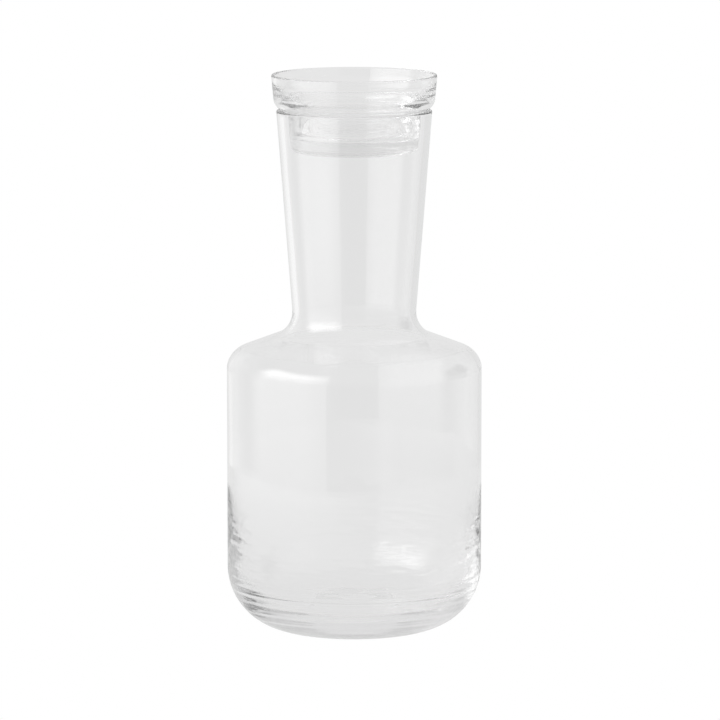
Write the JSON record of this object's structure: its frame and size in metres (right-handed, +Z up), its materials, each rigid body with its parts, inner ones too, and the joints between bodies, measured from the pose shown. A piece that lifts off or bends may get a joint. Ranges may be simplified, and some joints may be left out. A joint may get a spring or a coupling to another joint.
{
  "type": "glass carafe with tumbler",
  "caption": "Clear glass carafe with a straight round body, sloping shoulder and flared neck, and a stepped glass tumbler that rests on its lip as the stopper.",
  "frame": {"origin": "centre of the foot, on the surface that the carafe stands on", "axes": "+Z up along the axis of the body and neck; +X and +Y are alike, because both pieces are round"},
  "size_m": [0.11, 0.11, 0.2404],
  "materials": {
    "carafe_glass": "polished",
    "tumbler_glass": "polished"
  },
  "bodies": {
    "carafe": {"carafe": "carafe_glass"},
    "tumbler": {"tumbler": "tumbler_glass"}
  },
  "joints": [
    {"name": "tumbler_lift", "type": "slide", "parent": "carafe", "child": "tumbler", "axis": [0, 0, 1], "range_m": [0, 0.08]}
  ]
}
